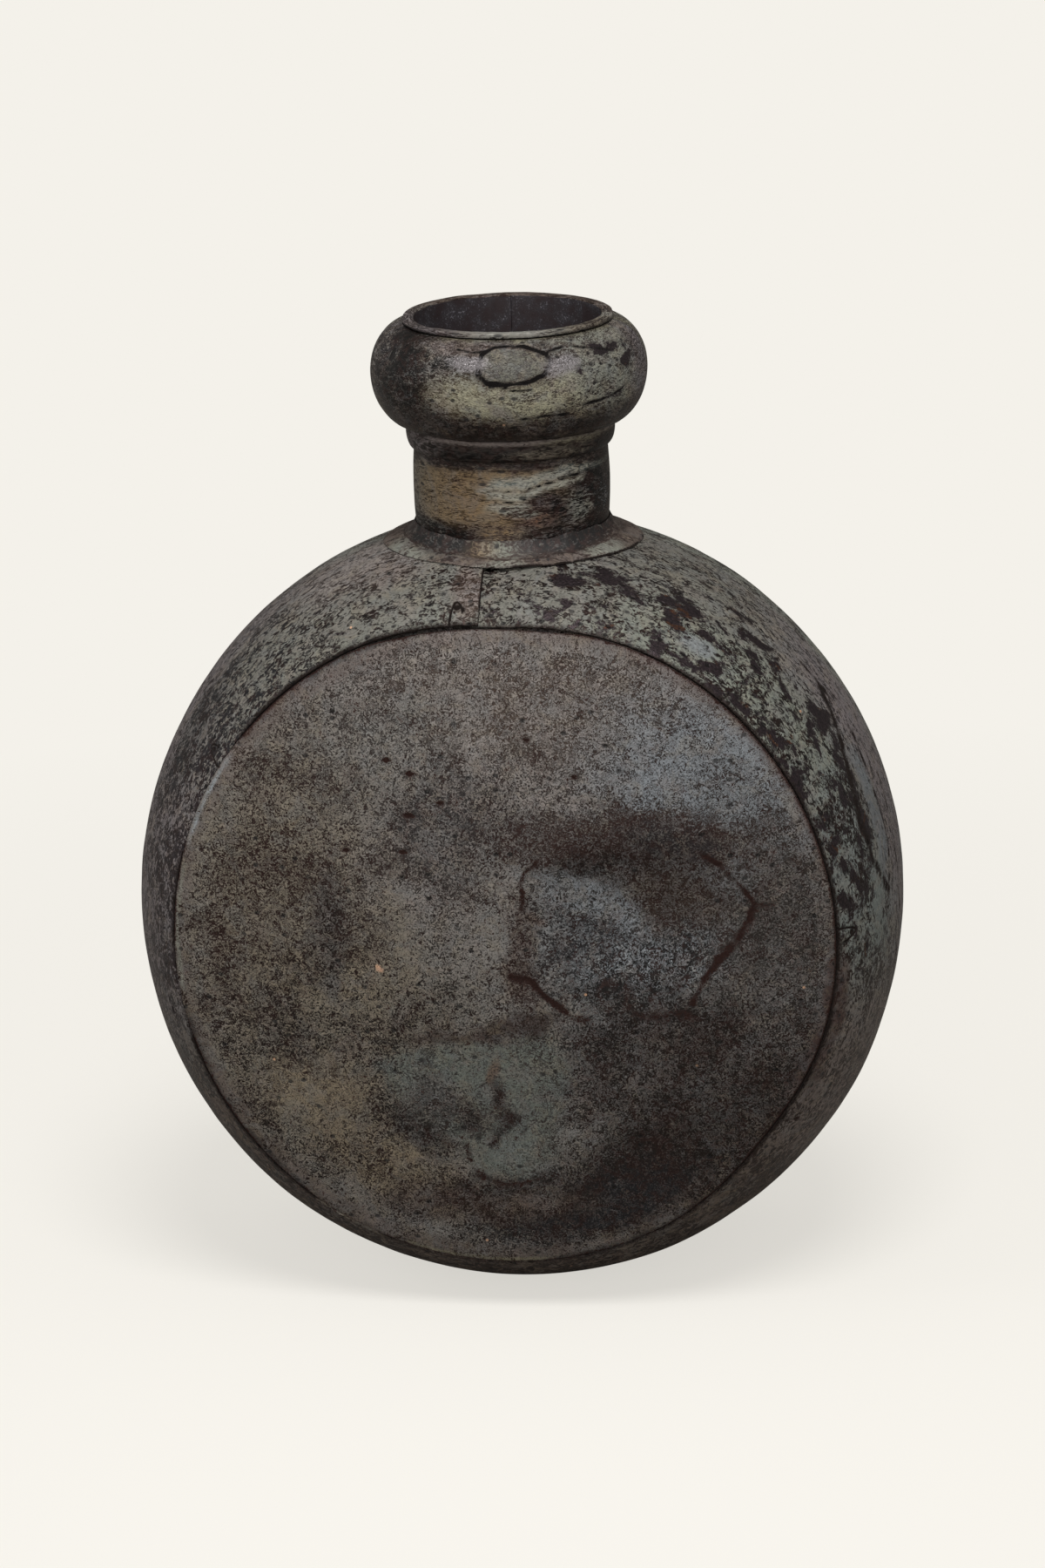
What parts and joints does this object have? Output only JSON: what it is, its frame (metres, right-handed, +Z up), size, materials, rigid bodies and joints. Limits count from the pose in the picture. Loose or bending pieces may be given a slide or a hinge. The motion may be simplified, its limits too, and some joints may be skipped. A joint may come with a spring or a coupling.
{
  "type": "metal flask",
  "caption": "Flat round hand-made iron flask: barrel band, domed discs, short round neck, bulbous hollow collar and hemmed mouth; free-standing, open at the top.",
  "frame": {"origin": "centre of the flattened foot, on the surface that the flask stands on", "axes": "+Z up through the neck, -Y towards the front disc (the dented one), +X to the right of a person facing it"},
  "size_m": [0.3, 0.172, 0.3828],
  "materials": {
    "band_iron": "sheet iron with worn grey-green paint over dark brown oxide",
    "disc_iron": "sheet iron with speckled grey-olive paint remains",
    "seam_braze": "smooth brown tarnished brazing filler",
    "saddle_iron": "sheet iron, brown oxide with patches of pale paint",
    "neck_iron": "sheet iron, ochre and pale green paint streaks",
    "neck_braze": "smooth brown tarnished brazing filler",
    "ring_iron": "iron ring, dark brown oxide with a worn lighter edge",
    "collar_iron": "sheet iron, olive-green paint worn to bright dark metal"
  },
  "bodies": {
    "root": {"body_band": "band_iron", "front_disc": "disc_iron", "back_disc": "disc_iron", "front_seam_braze": "seam_braze", "back_seam_braze": "seam_braze", "neck_saddle": "saddle_iron", "neck_tube": "neck_iron", "neck_braze": "neck_braze", "seat_ring": "ring_iron", "collar_shell": "collar_iron"}
  },
  "joints": []
}
